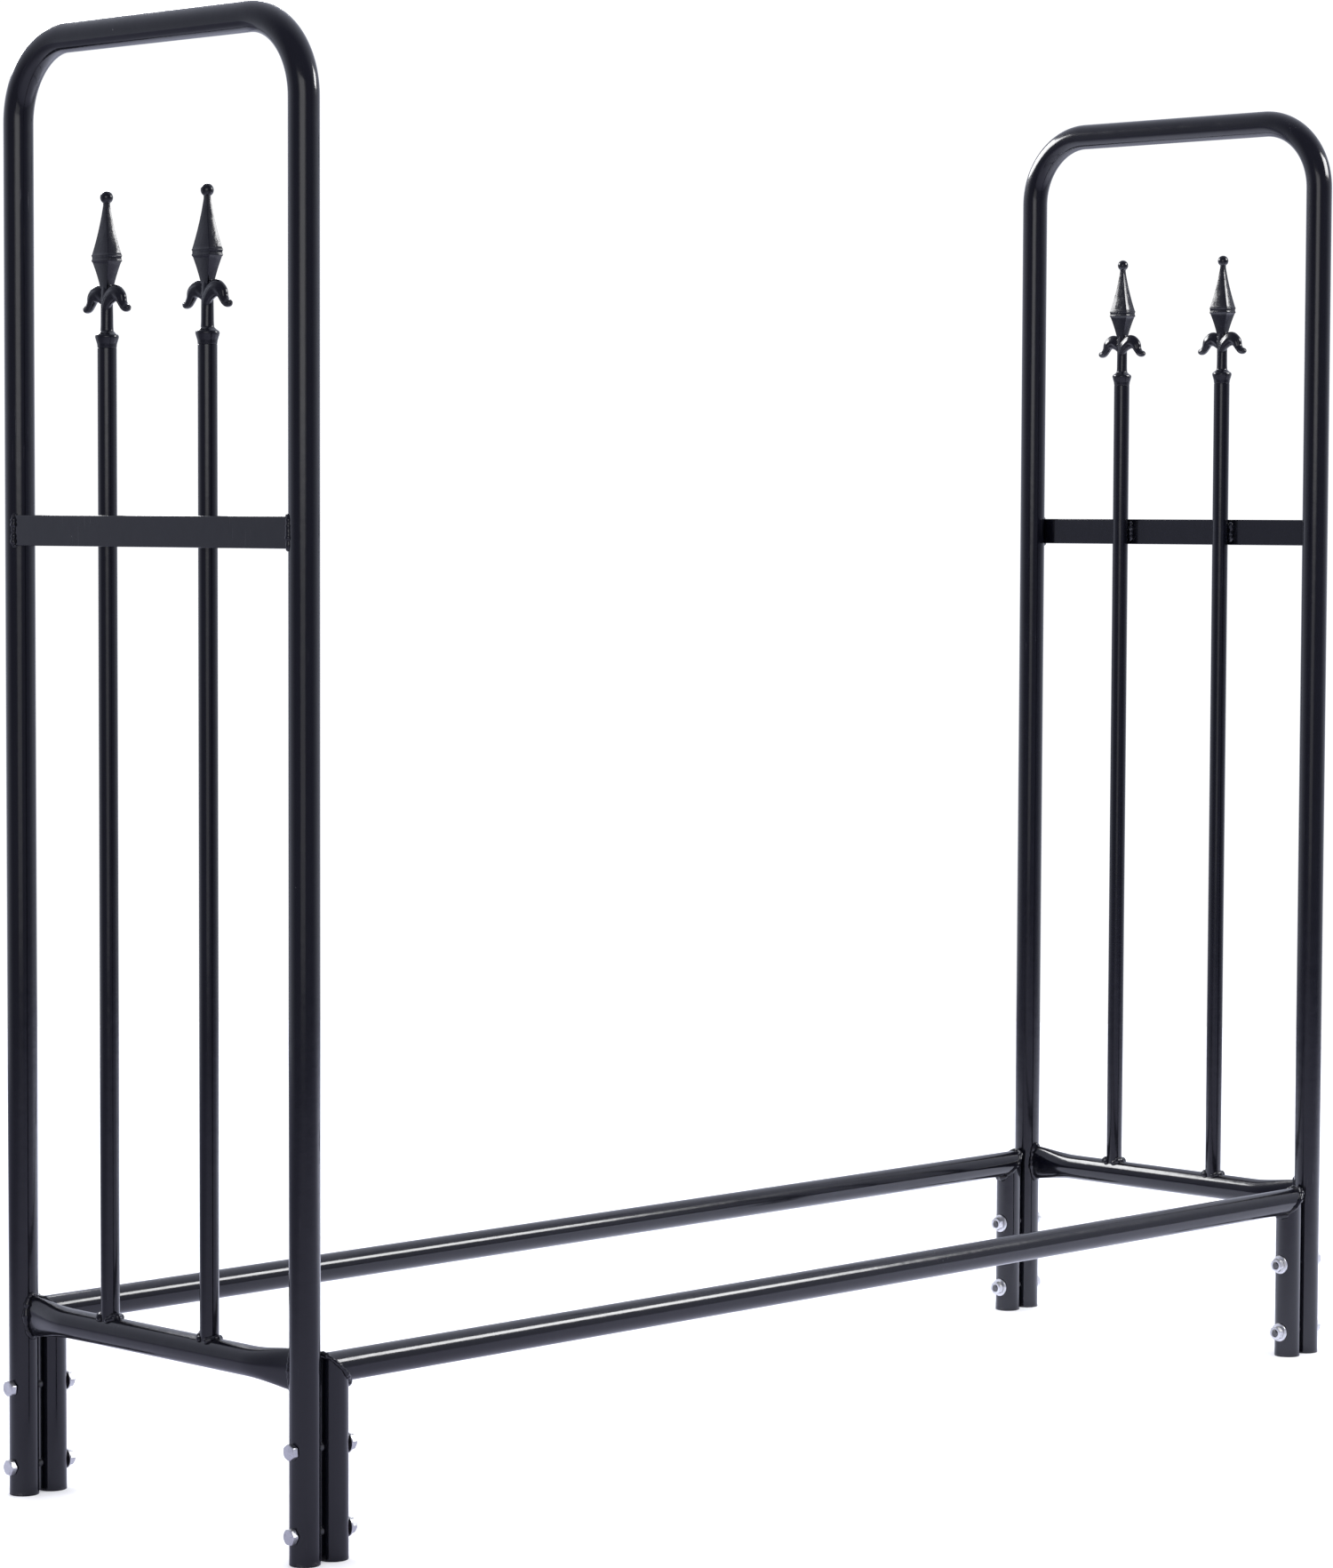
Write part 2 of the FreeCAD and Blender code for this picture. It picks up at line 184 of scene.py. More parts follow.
def lip_profile(outer, inner):
    """(radius, distance from the end) from the outer wall round the lip to the inner wall."""
    half = (1 - math.sqrt(0.5)) * LIP
    outside = [(outer, LIP_LENGTH), (outer, LIP), (outer - half, half), (outer - LIP, 0)]
    inside = [(inner + LIP, 0), (inner + half, half), (inner, LIP), (inner, LIP_LENGTH)]
    return outside + inside


# bent tubes of the end frames


def arch_stations():
    """(centre in the YZ plane, outward direction, flattening) from the front foot to the rear."""
    shoulder = ARCH_Z - BEND_RADIUS
    gap = 4 * MM  # between the straight stretches' last stations and the bend's first
    stations = []
    for z in evenly(LIP_LENGTH, shoulder - gap, LEG_STEPS):
        stations.append((Vector((0, -LEG_Y, z)), -Y_AXIS, 0))
    heart = Vector((0, BEND_RADIUS - LEG_Y, shoulder))
    for turn in evenly(0, math.pi / 2, BEND_STEPS):
        outward = Vector((0, -math.cos(turn), math.sin(turn)))
        flattening = BEND_FLATTENING * math.sin(2 * turn)
        stations.append((heart + outward * BEND_RADIUS, outward, flattening))
    for y in evenly(BEND_RADIUS - LEG_Y + gap, 0, ARCH_TOP_STEPS):
        stations.append((Vector((0, y, ARCH_Z)), Z_AXIS, 0))
    mirrored = []
    for centre, outward, flattening in reversed(stations[:-1]):
        flipped = Vector((0, -centre.y, centre.z))
        mirrored.append((flipped, Vector((0, -outward.y, outward.z)), flattening))
    return stations + mirrored


def make_arch(half, material):
    """The bent tube, slightly flattened in its bends, hollow and open at its two feet."""
    inner = TUBE_RADIUS - TUBE_WALL
    origin = X_AXIS * HALVES[half] * FRAME_X

    def ring(centre, outward, flattening, radius):
        points = []
        for angle in angles():
            across = X_AXIS * radius * (1 + flattening) * math.sin(angle)
            out = outward * radius * (1 - flattening) * math.cos(angle)
            points.append(origin + centre + out + across)
        return points

    def lip(side):
        foot = Vector((0, side * LEG_Y, 0))
        profile = lip_profile(TUBE_RADIUS, inner)
        return [ring(foot + Z_AXIS * up, side * Y_AXIS, 0, radius) for radius, up in profile]

    stations = arch_stations()
    outside = [ring(*station, TUBE_RADIUS) for station in stations[1:-1]]
    inside = [ring(*station, inner) for station in reversed(stations[1:-1])]
    shell = skin(outside + lip(1) + inside + list(reversed(lip(-1))), cyclic=True)
    node = f"end_arch_{half}"
    arch = add_object(f"{node}_tube", mesh_of(node, [shell]))
    return finish_piece(arch, material, "frame_enamel", node)


def squeezed_size(from_leg):
    """Half height and half width of a lower cross tube at that distance from the leg's axis."""
    squeeze = ease(max(0.0, 1 - from_leg / SQUEEZE_LENGTH))
    height = TUBE_RADIUS + squeeze * (SQUEEZED_HEIGHT / 2 - TUBE_RADIUS)
    width = TUBE_RADIUS + squeeze * (SQUEEZED_WIDTH / 2 - TUBE_RADIUS)
    return height, width


def leg_surface(across):
    """Distance from a leg's axis to its surface, at that offset across the frame."""
    return math.sqrt(max(0.0, TUBE_RADIUS**2 - across**2))


def cross_tube_ring(half, side, from_leg, angle_list, wall, coped=False):
    """Section of a lower cross tube near one leg; a coped one follows the leg's surface."""
    points = []
    for angle in angle_list:
        near = from_leg
        for _ in range(COPE_ROUNDS if coped else 1):
            height, width = squeezed_size(near)
            across = (width - wall) * math.cos(angle)
            if coped:
                near = leg_surface(across)
        up = (height - wall) * math.sin(angle)
        x = HALVES[half] * FRAME_X + across
        points.append(Vector((x, side * (LEG_Y - near), RAIL_Z + up)))
    return points


def make_cross_tube(half, material):
    """Tube between the legs, squeezed tall and narrow towards both of its coped ends."""
    squeezed = evenly(TUBE_RADIUS + 2 * MM, SQUEEZE_LENGTH, SQUEEZE_STEPS)
    plain = evenly(SQUEEZE_LENGTH + 10 * MM, LEG_Y, CROSS_TUBE_STEPS)
    walls = []
    for wall in (0, TUBE_WALL):
        rings = []
        for side in (-1, 1):
            near = [cross_tube_ring(half, side, 0, angles(), wall, coped=True)]
            near += [cross_tube_ring(half, side, d, angles(), wall) for d in squeezed + plain]
            rings += near if side < 0 else list(reversed(near[:-1]))
        walls.append(rings)
    shell = skin(walls[0] + list(reversed(walls[1])), cyclic=True)
    node = f"lower_cross_tube_{half}"
    tube = add_object(f"{node}_tube", mesh_of(node, [shell]))
    return finish_piece(tube, material, "frame_enamel", node)


def make_crossbar(half, material):
    """Flat bar with softly rolled edges, its ends coped to the legs."""
    corners = []
    for x, z, start in (
        (BAR_OUTER - BAR_EDGE, BAR_TOP - BAR_EDGE, 0),
        (BAR_INNER + BAR_EDGE, BAR_TOP - BAR_EDGE, 90),
        (BAR_INNER + BAR_EDGE, BAR_BOTTOM + BAR_EDGE, 180),
        (BAR_OUTER - BAR_EDGE, BAR_BOTTOM + BAR_EDGE, 270),
    ):
        for degrees in evenly(start, start + 90, CROSSBAR_CORNER_STEPS):
            turn = math.radians(degrees)
            corners.append((x + BAR_EDGE * math.cos(turn), z + BAR_EDGE * math.sin(turn)))
    rings = []
    for share in evenly(-1, 1, CROSSBAR_STEPS):
        ring = []
        for x, z in corners:
            reach = LEG_Y - leg_surface(x)
            ring.append(Vector((HALVES[half] * (FRAME_X + x), share * reach, z)))
        rings.append(ring)
    node = f"crossbar_{half}"
    bar = add_object(f"{node}_bar", mesh_of(node, [skin(rings)]))
    return finish_piece(bar, material, "frame_enamel", node)


def make_rod(half, side, material):
    """Upright tube, its foot coped to the lower cross tube."""
    centre = Vector((HALVES[half] * FRAME_X, SIDES[side] * ROD_Y, 0))
    walls = []
    for radius in (ROD_RADIUS, ROD_RADIUS - TUBE_WALL):
        rings = []
        for share in evenly(0, 1, ROD_STEPS):
            ring = []
            for angle in angles(ROD_AROUND):
                across = radius * math.cos(angle)
                foot = RAIL_Z + leg_surface(across)
                height = foot + share * (ROD_TOP - LIP - foot)
                along = radius * math.sin(angle)
                ring.append(centre + Vector((across, along, height)))
            rings.append(ring)
        walls.append(rings)
    rim = []
    for angle in angles(ROD_AROUND):
        direction = Vector((math.cos(angle), math.sin(angle), 0))
        rim.append(centre + direction * (ROD_RADIUS - LIP) + Z_AXIS * ROD_TOP)
    shell = skin(walls[0] + [rim] + list(reversed(walls[1])), cyclic=True)
    node = f"rod_{side}_{half}"
    rod = add_object(f"{node}_tube", mesh_of(node, [shell]))
    return finish_piece(rod, material, "frame_enamel", node)


# side rails and posts, mitred where they meet


def make_rail(side, material):
    """Tube along the rack, both ends mitred downwards."""
    walls = []
    for radius in (TUBE_RADIUS, TUBE_RADIUS - TUBE_WALL):
        rings = []
        for share in evenly(-1, 1, RAIL_STEPS):
            ring = []
            for angle in angles():
                up = radius * math.sin(angle)
                across = radius * math.cos(angle)
                y = SIDES[side] * LEG_Y + across
                ring.append(Vector((share * (POST_X + up), y, RAIL_Z + up)))
            rings.append(ring)
        walls.append(rings)
    shell = skin(walls[0] + list(reversed(walls[1])), cyclic=True)
    node = f"side_rail_{side}"
    rail = add_object(f"{node}_tube", mesh_of(node, [shell]))
    return finish_piece(rail, material, "rail_enamel", node)


def make_post(half, side, material):
    """Short tube under the end of a rail, its top mitred and its foot open."""
    centre = Vector((HALVES[half] * POST_X, SIDES[side] * LEG_Y, 0))

    def ring(radius, height):
        points = []
        for angle in angles():
            out = radius * math.cos(angle)
            rise = height(out)
            along = radius * math.sin(angle)
            points.append(centre + Vector((out, along, rise)))
        return points

    inner = TUBE_RADIUS - TUBE_WALL
    lip = [ring(radius, lambda _, up=up: up) for radius, up in lip_profile(TUBE_RADIUS, inner)]
    walls = []
    for radius in (TUBE_RADIUS, inner):
        rings = []
        for share in evenly(0.1, 1, POST_STEPS):
            rings.append(ring(radius, lambda x, s=share: s * (RAIL_Z + HALVES[half] * x)))
        walls.append(rings)
    shell = skin(list(reversed(lip)) + walls[0] + list(reversed(walls[1])), cyclic=True)
    node = f"rail_post_{side}_{half}"
    post = add_object(f"{node}_tube", mesh_of(node, [shell]))
    return finish_piece(post, material, "rail_enamel", node)


# weld beads, swept along the lines where pieces meet

ROD_FOOT_BEAD = 2.9 * MM
CROSS_TUBE_BEAD = 2.3 * MM
CROSSBAR_END_BEAD = 2.0 * MM
ROD_CROSSBAR_BEAD = 2.7 * MM
MITRE_BEAD = 1.8 * MM
MITRE_CORNER_BEAD = 3.0 * MM
ROD_FOOT_TURN = 74  # degrees either way round the rod
MITRE_CORNER_TURN = 38  # degrees either way from straight below the rail
RIPPLE = 4.2 * MM  # from one ripple of a bead to the next
RIPPLE_SHARE = 0.26  # of the bead's radius, as are the next four
LUMP_SHARE = 0.55
BULGE_SHARE = 0.22
THINNEST_SHARE = 0.9
TIP_SHARE = math.sqrt(0.004)
LUMPS_PER_METRE = 230
BULGES_PER_METRE = 700
WANDER = 0.5 * MM
WANDERS_PER_METRE = 300
NOISE_RANGE = 50
ROD_FOOT_STEPS = 30
CROSS_TUBE_BEAD_AROUND = 72
CROSSBAR_EDGE_STEPS = 5
CROSSBAR_FACE_STEPS = 22
ROD_CROSSBAR_STEPS = 24
MITRE_AROUND = 84
MITRE_CORNER_STEPS = 20


def bead(path, radius, heart, seed, closed=False):
    """A lumpy run of weld metal along a path, its rings turned away from heart."""
    luck = random.Random(seed)
    shift = Vector([luck.uniform(0, NOISE_RANGE) for _ in range(3)])
    count = len(path)
    travelled = 0.0
    rings = []
    for i, point in enumerate(path):
        before = path[i - 1] if closed or i else point
        after = path[(i + 1) % count] if closed or i < count - 1 else point
        along = (after - before).normalized()
        outward = point - heart
        outward = (outward - along * outward.dot(along)).normalized()
        aside = along.cross(outward)
        if i:
            travelled += (point - path[i - 1]).length
        wave = RIPPLE_SHARE * abs(math.sin(math.pi * travelled / RIPPLE))
        lumps = LUMP_SHARE * noise.noise(point * LUMPS_PER_METRE + shift)
        end = 1.0
        if not closed:  # tapers to a round tip at both ends
            end = max(TIP_SHARE, math.sqrt(1 - (2 * i / (count - 1) - 1) ** 4))
        size = radius * end * (THINNEST_SHARE + wave + lumps)
        ring = []
        for angle in angles(BEAD_AROUND):
            place = point * BULGES_PER_METRE + shift + outward * math.cos(angle)
            bulge = 1 + BULGE_SHARE * noise.noise(place)
            offset = outward * math.cos(angle) + aside * math.sin(angle)
            ring.append(point + offset * size * bulge)
        rings.append(ring)
    return skin(rings, cyclic=closed)


def add_weld(name, shells, material, slot):
    mesh = mesh_of(name, shells, sharp_angle=60)
    return finish_piece(add_object(name, mesh), material, slot)


def weld_rod_foot(half, side, material, seed):
    """Two fillets on top of the cross tube, before and behind the rod."""
    centre = Vector((HALVES[half] * FRAME_X, SIDES[side] * ROD_Y, 0))
    reach = ROD_RADIUS + 0.5 * MM
    shells = []
    for facing in (-1, 1):
        path = []
        for degrees in evenly(-ROD_FOOT_TURN, ROD_FOOT_TURN, ROD_FOOT_STEPS):
            turn = math.radians(degrees)
            across = reach * math.sin(turn)
            up = RAIL_Z + leg_surface(across) + 0.3 * MM
            path.append(centre + Vector((across, facing * reach * math.cos(turn), up)))
        heart = centre + Z_AXIS * (RAIL_Z + TUBE_RADIUS)
        shells.append(bead(path, ROD_FOOT_BEAD, heart, seed + facing))
    add_weld(f"weld_rod_foot_{side}_{half}", shells, material, "frame_enamel")


def weld_cross_tube(half, side, material, seed):
    """A bead round the squeezed end of the lower cross tube."""
    proud = 0.4 * MM
    around = angles(CROSS_TUBE_BEAD_AROUND)
    ring = cross_tube_ring(half, SIDES[side], 0, around, -proud, coped=True)
    heart = sum(ring, Vector()) / len(ring)
    shell = bead(ring, CROSS_TUBE_BEAD, heart, seed, closed=True)
    add_weld(f"weld_cross_tube_{side}_{half}", [shell], material, "frame_enamel")


def weld_crossbar_end(half, side, material, seed):
    """A bead over the end of the crossbar where it meets the leg."""
    depth = BAR_OUTER - BAR_INNER
    sunk = 0.2 * MM
    outline = []
    for share in evenly(0.2, 0.85, CROSSBAR_EDGE_STEPS):
        outline.append((BAR_INNER + depth * share, BAR_TOP))
    for z in evenly(BAR_TOP - BAR_EDGE, BAR_BOTTOM + BAR_EDGE, CROSSBAR_FACE_STEPS):
        outline.append((BAR_OUTER - sunk, z))
    for share in evenly(0.15, 0.8, CROSSBAR_EDGE_STEPS):
        outline.append((BAR_OUTER - depth * share, BAR_BOTTOM))
    path = []
    for x, z in outline:
        y = SIDES[side] * (LEG_Y - leg_surface(x) + sunk)
        path.append(Vector((HALVES[half] * (FRAME_X + x), y, z)))
    heart = sum(path, Vector()) / len(path) - X_AXIS * HALVES[half] * 4 * MM
    shell = bead(path, CROSSBAR_END_BEAD, heart, seed)
    add_weld(f"weld_crossbar_{side}_{half}", [shell], material, "frame_enamel")


def weld_rod_to_crossbar(half, side, material, seed):
    """Upright fillets in the two corners between a rod and the crossbar."""
    centre = Vector((HALVES[half] * FRAME_X, SIDES[side] * ROD_Y, 0))
    x = HALVES[half] * (BAR_INNER - 1.1 * MM)
    beside_rod = ROD_RADIUS + 0.4 * MM
    shells = []
    for facing in (-1, 1):
        path = []
        for z in evenly(BAR_TOP - 2 * MM, BAR_BOTTOM + 3 * MM, ROD_CROSSBAR_STEPS):
            wander = WANDER * noise.noise(Vector((seed, facing, z * WANDERS_PER_METRE)))
            path.append(centre + Vector((x, facing * beside_rod + wander, z)))
        heart = Vector((centre.x, centre.y, (BAR_TOP + BAR_BOTTOM) / 2))
        shells.append(bead(path, ROD_CROSSBAR_BEAD, heart, seed + facing))
    add_weld(f"weld_rod_crossbar_{side}_{half}", shells, material, "frame_enamel")


def weld_mitre(half, side, material, seed):
    """A bead round the mitre, and a heavier drop in its inner corner."""
    end = HALVES[half]
    centre = Vector((end * POST_X, SIDES[side] * LEG_Y, RAIL_Z))
    path = []
    for angle in angles(MITRE_AROUND):
        up = TUBE_RADIUS * math.sin(angle)
        path.append(centre + Vector((end * up, TUBE_RADIUS * math.cos(angle), up)))
    shells = [bead(path, MITRE_BEAD, centre, seed, closed=True)]
    corner = []
    reach = TUBE_RADIUS + 0.5 * MM
    for degrees in evenly(-90 - MITRE_CORNER_TURN, -90 + MITRE_CORNER_TURN, MITRE_CORNER_STEPS):
        turn = math.radians(degrees)
        up = reach * math.sin(turn)
        along = reach * math.cos(turn)
        corner.append(centre + Vector((end * up, along, up)))
    shells.append(bead(corner, MITRE_CORNER_BEAD, centre, seed + 1))
    add_weld(f"weld_mitre_{side}_{half}", shells, material, "rail_enamel")


# finials, cast in one piece, drawn in millimetres above the top of a rod

COLLAR_AND_STEM = (  # height, half width, half depth
    (0.0, 7.1, 7.1),
    (0.4, 7.1, 7.1),
    (3.0, 7.4, 7.4),
    (6.6, 8.5, 8.5),
    (8.2, 8.9, 8.9),
    (9.6, 8.4, 8.4),
    (10.8, 6.5, 6.5),
    (12.4, 4.9, 4.9),
    (16.0, 4.7, 4.7),
    (26.0, 4.7, 4.5),
    (32.0, 4.9, 4.2),
    (38.0, 5.0, 3.8),
    (46.0, 4.5, 3.4),
    (49.0, 3.6, 2.6),
)
ARM = (  # outwards, height, towards its own face, half width, half depth
    (-2.0, 20.5, 1.2, 1.2, 1.3),
    (-1.4, 25.0, 1.7, 2.2, 2.0),
    (0.9, 30.4, 1.9, 3.6, 2.9),
    (5.0, 36.2, 1.5, 5.2, 3.8),
    (10.4, 40.0, 0.7, 6.4, 4.2),
    (15.8, 37.6, 0.2, 5.3, 4.3),
    (18.4, 32.8, 0.0, 3.6, 3.7),
    (21.2, 29.5, 0.0, 3.2, 3.4),
    (24.3, 29.0, 0.0, 2.9, 3.0),
    (26.3, 29.9, 0.0, 1.7, 1.8),
)
WAIST_HEIGHT = 46.0
WAIST = (8.6, 7.0)  # width and depth
BELT_BOTTOM = 63.7
BELT_TOP = 67.4
BELT = (19.4, 12.5)
BELT_LINE = (  # across a raised line: from the belt's edge, share of its full height
    (-0.6, 0),
    (0.0, 1),
    (0.7, 1),
    (1.3, 0),
)
NECK_HEIGHT = 104.5
NECK = (3.9, 3.9)
BALL_HEIGHT = 110.4
BALL_RADIUS = 4.8
LINE_RAISE = 0.35
CREASES = (62, 118)  # degrees round an arm
CREASE_DEPTH = 0.13
CREASE_WIDTH = 9
CASTING_VOXEL = 0.4 * MM
SPEAR_EDGE = 0.45 * MM


def lathe(profile):
    """Shell through ovals, each given as (height, half width, half depth)."""
    rings = []
    for height, width, depth in profile:
        ring = []
        for angle in angles(LATHE_AROUND):
            ring.append(Vector((depth * math.cos(angle), width * math.sin(angle), height)))
        rings.append(ring)
    return skin(rings)


def blade_ring(height, first, second, share, raised=0.0):
    """Corners of a blade's section, its width and depth part of the way between two sizes."""
    width = (first[0] + share * (second[0] - first[0])) / 2 + raised
    depth = (first[1] + share * (second[1] - first[1])) / 2 + raised
    corners = ((depth, width), (depth, -width), (-depth, -width), (-depth, width))
    return [Vector((x, y, height)) for x, y in corners]


def blade():
    """A four-edged spear with hollow flanks and two raised lines along its belt."""
    rings = []
    for share in evenly(-0.15, 0.95, 10):
        height = WAIST_HEIGHT + share * (BELT_BOTTOM - WAIST_HEIGHT)
        rings.append(blade_ring(height, WAIST, BELT, 0.78 * share + 0.22 * share * share))
    for edge in (BELT_BOTTOM, BELT_TOP):
        for offset, raised in BELT_LINE:
            rings.append(blade_ring(edge + offset, BELT, BELT, 0, raised * LINE_RAISE))
    start = BELT_TOP + BELT_LINE[-1][0]
    for share in evenly(0.04, 1, 12):
        height = start + share * (NECK_HEIGHT - start)
        rings.append(blade_ring(height, BELT, NECK, share + 0.35 * share * (1 - share)))
    rings.append(blade_ring(BALL_HEIGHT, NECK, NECK, 0))
    return skin(rings)


def smooth_between(knots, steps):
    """Catmull-Rom points through knots of any number of coordinates."""
    dense = []
    for i in range(len(knots) - 1):
        p0 = knots[max(0, i - 1)]
        p1 = knots[i]
        p2 = knots[i + 1]
        p3 = knots[min(len(knots) - 1, i + 2)]
        for step in range(steps):
            t = step / steps
            point = []
            for a, b, c, d in zip(p0, p1, p2, p3):
                bend = (2 * a - 5 * b + 4 * c - d) * t * t + (3 * b - a - 3 * c + d) * t**3
                point.append(0.5 * (2 * b + (c - a) * t + bend))
            dense.append(point)
    dense.append(list(knots[-1]))
    return dense


def arm(sign):
    """A tapering trunk that curls outwards and down, with two creases along each face."""
    stations = smooth_between(ARM, 8)
    centres = [Vector((sign * face, sign * out, up)) for out, up, face, _, _ in stations]
    rings = []
    for i, (_, _, _, width, depth) in enumerate(stations):
        before = centres[max(0, i - 1)]
        after = centres[min(len(centres) - 1, i + 1)]
        along = (after - before).normalized()
        inward = along.cross(X_AXIS * sign).normalized()
        face = inward.cross(along)
        ring = []
        for angle in angles(ARM_AROUND):
            crease = 0.0
            for crease_angle in CREASES:
                apart = math.degrees(angle) % 180 - crease_angle
                crease += CREASE_DEPTH * math.exp(-((apart / CREASE_WIDTH) ** 2))
            reach = 1 - crease
            offset = inward * width * math.cos(angle) + face * depth * math.sin(angle)
            ring.append(centres[i] + offset * reach)
        rings.append(ring)
    return skin(rings)


def ball():
    profile = []
    for degrees in evenly(-84, 84, 20):
        turn = math.radians(degrees)
        width = BALL_RADIUS * math.cos(turn)
        profile.append((BALL_HEIGHT + BALL_RADIUS * math.sin(turn), width, width))
    return lathe(profile)


def worked(name, shells, modifiers):
    """The mesh of shells given in millimetres, after (kind, settings) modifiers."""
    scaled = [([vertex * MM for vertex in vertices], faces) for vertices, faces in shells]
    pattern = add_object(name, mesh_of(name, scaled))
    for kind, settings in modifiers:
        modifier = pattern.modifiers.new(kind.lower(), kind)
        for key, value in settings.items():
            setattr(modifier, key, value)
    evaluated = pattern.evaluated_get(bpy.context.evaluated_depsgraph_get())
    mesh = bpy.data.meshes.new_from_object(evaluated)
    bpy.data.objects.remove(pattern)
    return mesh


def finial_mesh():
    """Collar, stem and arms merged with soft inner corners, under a crisper spear and ball."""
    soft = (
        ("REMESH", {"mode": "VOXEL", "voxel_size": CASTING_VOXEL, "use_smooth_shade": True}),
        ("SMOOTH", {"factor": 0.5, "iterations": 5}),
        ("DECIMATE", {"ratio": 0.4}),
    )
    crisp = (("BEVEL", {"width": SPEAR_EDGE, "segments": 3, "limit_method": "ANGLE"}),)
    lower = worked("finial_lower", [lathe(COLLAR_AND_STEM), arm(-1), arm(1)], soft)
    upper = worked("finial_upper", [blade()], crisp)
    top = worked("finial_top", [ball()], ())
    joined = bmesh.new()
    for part in (lower, upper, top):
        joined.from_mesh(part)
    mesh = bpy.data.meshes.new("finial_casting")
    joined.to_mesh(mesh)
    joined.free()
    mesh.shade_smooth()
    mesh.set_sharp_from_angle(angle=math.radians(50))
    for part in (lower, upper, top):
        bpy.data.meshes.remove(part)
    return mesh


def make_finial(half, side, casting, material):
    node = f"finial_{side}_{half}"
    mesh = casting.copy()
    place = Vector((HALVES[half] * FRAME_X, SIDES[side] * ROD_Y, ROD_TOP))
    for vertex in mesh.vertices:
        vertex.co += place
    finial = add_object(f"{node}_casting", mesh)
    return finish_piece(finial, material, "cast_enamel", node)


# fasteners, built along their own Z and then turned onto the bolt's line

HEX_FLATS = 11.1 * MM
HEX_CROWN = 10.4 * MM
HEX_CORNER_ROUND = 0.3 * MM
HEX_EDGE = 0.2 * MM
HEAD_HEIGHT = 4.5 * MM
NUT_HEIGHT = 5.6 * MM
NUT_BORE = 3.2 * MM
SHANK_RADIUS = 3.1 * MM
SHANK_LENGTH = 57 * MM
THREAD_PITCH = 1.25 * MM
THREAD_DEPTH = 0.35 * MM
THREAD_START = 18 * MM
THREAD_PROFILE = ((1, 0.4), (1, 0.5), (0, 0.9), (0, 1))  # share of the depth, of the pitch
WASHER_RADIUS = 8.0 * MM
WASHER_BORE = 3.4 * MM
WASHER_EDGE = 0.35 * MM
END_CHAMFER = 0.8 * MM
COUNTERSINK = 0.5 * MM


def hex_reach(angle, inset=0.0):
    """Distance from the middle of a hexagon with rounded corners to its edge."""
    off_flat = (angle % (math.pi / 3)) - math.pi / 6
    flat = (HEX_FLATS / 2 - inset) / math.cos(off_flat)
    corner = (HEX_FLATS / 2 - inset) / math.cos(math.pi / 6) - HEX_CORNER_ROUND
    return min(flat, corner)


def hex_end(height, direction):
    """Rings from a hexagon's side to its chamfered face at height, facing up or down."""
    crown = HEX_CROWN / 2
    side = []
    brow = []
    for angle in angles(HEX_AROUND):
        reach = hex_reach(angle)
        drop = max(0.0, reach - crown) / math.sqrt(3)
        side.append((reach, angle, height - direction * (drop + HEX_EDGE)))
        low = max(0.0, drop - HEX_EDGE / 2)
        brow.append((reach - HEX_EDGE, angle, height - direction * low))
    face = [(crown - HEX_EDGE, angle, height) for angle in angles(HEX_AROUND)]
    return [side, brow, face]


def to_points(rings):
    """Rings of points from rings of (radius, angle, height)."""
    made = []
    for ring in rings:
        made.append([Vector((r * math.cos(a), r * math.sin(a), z)) for r, a, z in ring])
    return made


def bolt_mesh():
    """Chamfered head below 0, and a shank above with closed grooves for its thread."""
    rings = list(reversed(hex_end(-HEAD_HEIGHT, -1)))
    rings.append([(hex_reach(a), a, -HEX_EDGE) for a in angles(HEX_AROUND)])
    rings.append([(hex_reach(a, HEX_EDGE), a, 0) for a in angles(HEX_AROUND)])
    profile = [(SHANK_RADIUS, 0.0), (SHANK_RADIUS, THREAD_START)]
    turns = int((SHANK_LENGTH - THREAD_START) / THREAD_PITCH) - 1
    for turn in range(turns):
        start = THREAD_START + turn * THREAD_PITCH
        for depth, reached in THREAD_PROFILE:
            profile.append((SHANK_RADIUS - depth * THREAD_DEPTH, start + reached * THREAD_PITCH))
    profile.append((SHANK_RADIUS, SHANK_LENGTH - END_CHAMFER))
    profile.append((SHANK_RADIUS - END_CHAMFER, SHANK_LENGTH))
    rings += [[(r, a, z) for a in angles(HEX_AROUND)] for r, z in profile]
    return mesh_of("bolt", [skin(to_points(rings))], sharp_angle=25)


def nut_mesh():
    """Hexagon chamfered at both faces, with a countersunk bore."""
    rings = list(reversed(hex_end(0.0, -1))) + hex_end(NUT_HEIGHT, 1)
    bore = (
        (NUT_BORE + COUNTERSINK, NUT_HEIGHT),
        (NUT_BORE, NUT_HEIGHT - COUNTERSINK),
        (NUT_BORE, COUNTERSINK),
        (NUT_BORE + COUNTERSINK, 0.0),
    )
    rings += [[(r, a, z) for a in angles(HEX_AROUND)] for r, z in bore]
    return mesh_of("nut", [skin(to_points(rings), cyclic=True)], sharp_angle=25)


def washer_mesh(thickness):
    """Flat ring with rounded edges, lying on 0."""
    profile = []
    for radius, height, start in (
        (WASHER_RADIUS - WASHER_EDGE, WASHER_EDGE, -90),
        (WASHER_RADIUS - WASHER_EDGE, thickness - WASHER_EDGE, 0),
        (WASHER_BORE + WASHER_EDGE, thickness - WASHER_EDGE, 90),
        (WASHER_BORE + WASHER_EDGE, WASHER_EDGE, 180),
    ):
        for degrees in evenly(start, start + 90, 4):
            turn = math.radians(degrees)
            reach = radius + WASHER_EDGE * math.cos(turn)
            profile.append((reach, height + WASHER_EDGE * math.sin(turn)))
    rings = [[(r, a, z) for a in angles()] for r, z in profile]
    return mesh_of("washer", [skin(to_points(rings), cyclic=True)], sharp_angle=60)


